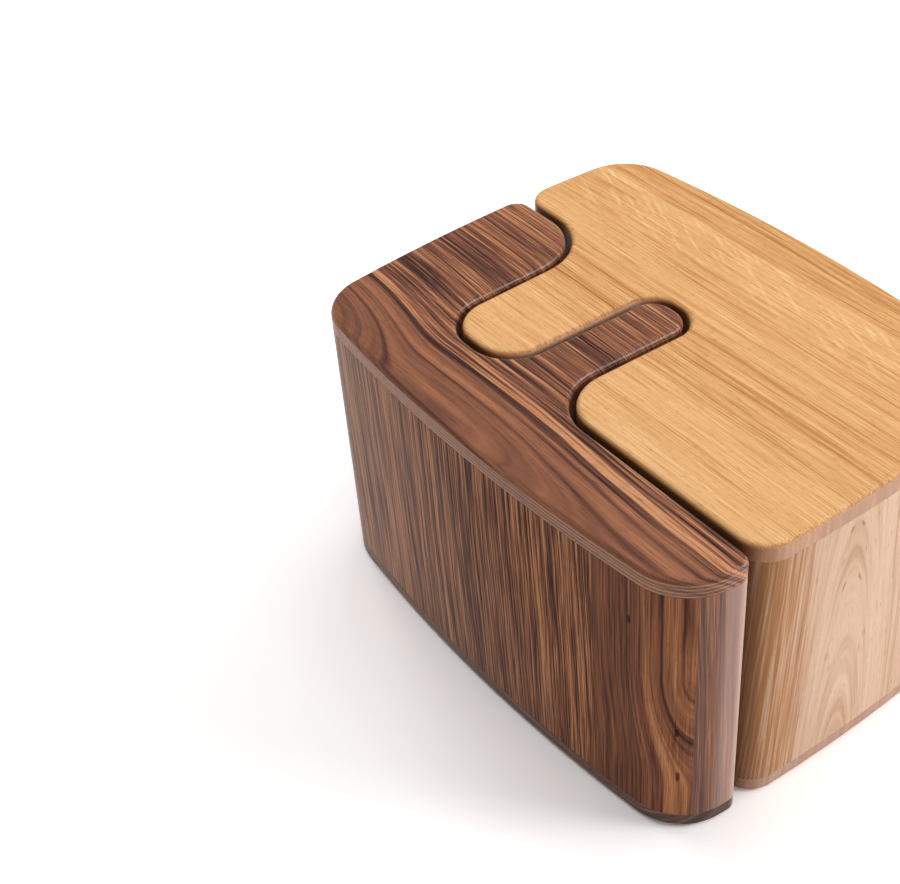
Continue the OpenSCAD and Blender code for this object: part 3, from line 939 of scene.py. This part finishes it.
walnut_top = walnut_board("walnut_top", 0.0, -0.228, 1.0, 0.11)
walnut_base = walnut_board("walnut_base", 2.9, -0.4, 0.3, -0.2)
walnut_wall = walnut_wall_material()
oak_top = oak_board("oak_top", 4.2, OAK_TONES, 1.0, srgb(156, 104, 62))
oak_base = oak_board("oak_base", 6.1, PALE_OAK_TONES, 0.3, srgb(136, 92, 70))
oak_wall = oak_wall_material()


# ------------------------------------------------------------------ table pieces
def dress(obj, node, body, material):
    """Gives a finished piece its material and puts it in the place of a CAD node."""
    obj.data.materials.clear()
    obj.data.materials.append(material)
    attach(obj, body)
    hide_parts(node)


def make_half(half, arcs, walls, top_material, wall_material, base_material):
    """One half of the table: its two boards and its wall pieces."""
    body = half + "_half"
    top = board(half + "_top", arcs, TOP_Z, TABLE_H, SEAM_R, TOP_EDGE_R)
    dress(top, half + "_top_board", body, top_material)
    base = board(half + "_base", arcs, BASE_Z, WALL_Z, BASE_EDGE_R, SEAM_R, round_steps=2)
    dress(base, half + "_base_board", body, base_material)
    places = perimeter_places(arcs)
    for name, first, last in walls:
        if last is None:
            steps = straight_step(arcs, first)
            start_at = places[first] + abs(turn_angle(arcs[first])) * arcs[first].radius
        else:
            steps = path_steps(arcs, first, last)
            start_at = places[first]
        piece = wall(half + "_" + name + "_skin", steps, start_at, WALL_Z, TOP_Z)
        dress(piece, half + "_" + name, body, wall_material)


# A wall piece runs from one arc of the outline to another, or, where the last number
# is None, it is the straight after the first arc
WALNUT_WALLS = [
    ("outer_panel", 0, 0), ("nose", 1, 3), ("joint_panel", 3, None), ("inner_cove", 4, 4),
    ("finger_near_panel", 4, None), ("finger_tip", 5, 6), ("finger_far_panel", 6, None),
    ("slot_end", 7, 8), ("slot_far_panel", 8, None), ("back_finger_round", 9, 9),
    ("back_finger_end", 9, None), ("back_finger_corner", 10, 10), ("back_panel", 11, 11),
    ("back_corner", 12, 12),
]
OAK_WALLS = [
    ("outer_panel", 0, 0), ("back_right_corner", 1, 1), ("back_panel", 2, 2),
    ("back_joint_corner", 3, 3), ("back_joint_panel", 3, None), ("back_cove", 4, 4),
    ("tongue_far_panel", 4, None), ("tongue_end", 5, 6), ("tongue_near_panel", 6, None),
    ("recess_end", 7, 8), ("recess_near_panel", 8, None), ("joint_corner", 9, 9),
    ("joint_panel", 9, None), ("front_joint_corner", 10, 10), ("front_panel", 11, 11),
    ("front_right_corner", 12, 12),
]
make_half("walnut", walnut_outline(), WALNUT_WALLS, walnut_top, walnut_wall, walnut_base)
make_half("oak", oak_outline(), OAK_WALLS, oak_top, oak_wall, oak_base)


# ------------------------------------------------------------------ hidden fittings
PLY_T = 0.0012  # m, one layer of the plywood


def plywood_material():
    material, n = new_material("birch_plywood")
    spot = n.coordinate("Object")
    ring = use(n, RINGS, Place=spot, Heart=0.1, Depth=0.4, Sway=0.05, Seed=8.0)["Ring"]
    g = use(n, GRAIN, Place=spot, Ring=ring, Seed=8.0)
    face = n.ramp(g["Broad"], [(0.3, srgb(206, 176, 134)), (0.7, srgb(226, 200, 160))])
    ply = n.math("PINGPONG", n.split(spot)["Z"], PLY_T)
    layered = n.mix(n.range(ply, 0.0003, 0.0009, 0.0, 0.25), face, srgb(160, 120, 82))
    colour = n.mix(n.times(g["Pore"], 0.3), layered, srgb(140, 104, 70))
    finish_material(n, colour, n.range(g["Fibre"], 0.2, 0.8, 0.6, 0.75), g["Fibre"], 0.3)
    return material


def steel_material():
    material, n = new_material("zinc_steel")
    spot = n.coordinate("Object")
    cloud = n.noise(spot, 900.0, 3.0)
    colour = n.ramp(cloud, [(0.3, srgb(166, 166, 170)), (0.7, srgb(206, 206, 208))])
    bump = n.add("ShaderNodeBump", {"Strength": 0.2, "Distance": STEEL_RELIEF,
                                    "Height": cloud})
    shader = n.add("ShaderNodeBsdfPrincipled", {
        "Base Color": colour, "Roughness": n.range(cloud, 0.2, 0.8, 0.28, 0.45),
        "Metallic": 1.0, "Normal": bump.outputs[0]})
    n.add("ShaderNodeOutputMaterial", {"Surface": shader.outputs[0]})
    return material


def glide_material():
    material, n = new_material("glide_plastic")
    spot = n.coordinate("Object")
    cloud = n.noise(spot, 1400.0, 2.0)
    colour = n.ramp(cloud, [(0.3, srgb(38, 36, 35)), (0.7, srgb(56, 54, 52))])
    finish_material(n, colour, n.range(cloud, 0.2, 0.8, 0.5, 0.7), cloud, 0.3)
    return material


plywood, steel, plastic = plywood_material(), steel_material(), glide_material()
for node_name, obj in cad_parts.items():
    if node_name.endswith("former"):
        material = plywood
    elif node_name.endswith(("screws", "nails")):
        material = steel
    elif node_name.endswith("glides"):
        material = plastic
    else:
        continue
    obj.data.materials.clear()
    obj.data.materials.append(material)


# ------------------------------------------------------------------ floor, light, camera
FLOOR_SIZE = 40
# Towards the camera the floor is bright enough to turn white outside the shadow
FLOOR_COLOUR = (0.92, 0.91, 0.91, 1)
FLOOR_SEEN_COLOUR = (1.39, 1.37, 1.365, 1)
WHITE = (1, 1, 1, 1)
FADE_START, FADE_END = 1.0, 1.9  # m from the table's middle, where the floor turns white
SKY_STRENGTH = 0.17


def make_floor():
    deselect()
    bpy.ops.mesh.primitive_plane_add(size=FLOOR_SIZE)
    floor = bpy.context.object
    floor.name = "floor"
    material, n = new_material("white_floor")
    seen = n.add("ShaderNodeLightPath").outputs
    paper = n.add("ShaderNodeBsdfDiffuse", {"Color": FLOOR_COLOUR})
    bright = n.add("ShaderNodeBsdfDiffuse", {"Color": FLOOR_SEEN_COLOUR})
    surface = n.add("ShaderNodeMixShader", {0: seen["Is Camera Ray"], 1: paper.outputs[0],
                                            2: bright.outputs[0]})
    # Far from the table the floor turns into the white of the backdrop
    x, y, _ = n.split(n.coordinate("Object"))
    faded = n.range(n.hypot(x, y), FADE_START, FADE_END, kind="SMOOTHSTEP")
    far = n.times(faded, seen["Is Camera Ray"])
    white = n.add("ShaderNodeEmission", {"Color": WHITE, "Strength": 1.0})
    surface = n.add("ShaderNodeMixShader", {0: far, 1: surface.outputs[0], 2: white.outputs[0]})
    n.add("ShaderNodeOutputMaterial", {"Surface": surface.outputs[0]})
    floor.data.materials.append(material)


def make_world():
    world = bpy.data.worlds.new("studio")
    bpy.context.scene.world = world
    world.use_nodes = True
    world.node_tree.nodes.clear()
    n = Maker(world.node_tree)
    seen = n.add("ShaderNodeLightPath").outputs
    soft = n.add("ShaderNodeBackground", {"Color": WHITE, "Strength": SKY_STRENGTH})
    white = n.add("ShaderNodeBackground", {"Color": WHITE, "Strength": 1.0})
    mixed = n.add("ShaderNodeMixShader", {0: seen["Is Camera Ray"], 1: soft.outputs[0],
                                          2: white.outputs[0]})
    n.add("ShaderNodeOutputWorld", {"Surface": mixed.outputs[0]})


# Square soft boxes: name, place, height aimed at over the middle, size, watts, and
# whether the wood mirrors it
LAMPS = [
    ("key", (2.3, -1.55, 0.9), 0.2, 2.0, 48, True),
    ("front", (-0.9, -2.3, 1.7), 0.2, 2.0, 12, False),
    ("back", (-0.2, 2.4, 1.7), 0.2, 2.0, 36, False),
    ("overhead", (0.0, 0.2, 3.0), 0.2, 2.0, 20, False),
    ("right", (1.2, 0.5, 2.7), 0.2, 2.0, 14, False),
    ("glint", (1.6, -2.0, 1.7), 0.3, 1.0, 27, True),
]


def softbox(name, at, aim_height, size, watts, mirrored_too):
    light = bpy.data.lights.new(name, "AREA")
    light.shape = "SQUARE"
    light.size = size
    light.energy = watts
    obj = bpy.data.objects.new(name, light)
    obj.visible_glossy = mirrored_too
    bpy.context.scene.collection.objects.link(obj)
    obj.location = at
    towards = Vector((0, 0, aim_height)) - Vector(at)
    obj.rotation_euler = towards.to_track_quat("-Z", "Y").to_euler()


CAMERA_TURN = (-33.09, 40.41, -5.17)  # azimuth from -Y, pitch down and roll, in degrees
CAMERA_AIM = Vector((-0.02914, 0.34322, 0))  # where its middle line meets the floor
CAMERA_AWAY = 2.10719  # m from there
CAMERA_LENS = 66.42  # mm, on a sensor 36 mm wide


def make_camera():
    azimuth, pitch, roll = (math.radians(turn) for turn in CAMERA_TURN)
    forward = Vector((-math.sin(azimuth) * math.cos(pitch),
                      math.cos(azimuth) * math.cos(pitch), -math.sin(pitch)))
    level = forward.cross(Vector((0, 0, 1))).normalized()
    under = forward.cross(level)
    across = math.cos(roll) * level - math.sin(roll) * under
    down = math.sin(roll) * level + math.cos(roll) * under
    camera = bpy.data.objects.new("camera", bpy.data.cameras.new("camera"))
    bpy.context.scene.collection.objects.link(camera)
    camera.data.sensor_width = 36
    camera.data.sensor_fit = "HORIZONTAL"
    camera.data.lens = CAMERA_LENS
    turned = Matrix((across, -down, -forward)).transposed().to_4x4()
    camera.matrix_world = Matrix.Translation(CAMERA_AIM - forward * CAMERA_AWAY) @ turned
    bpy.context.scene.camera = camera


make_floor()
make_world()
for lamp in LAMPS:
    softbox(*lamp)
make_camera()
bpy.context.scene.view_settings.view_transform = "Standard"
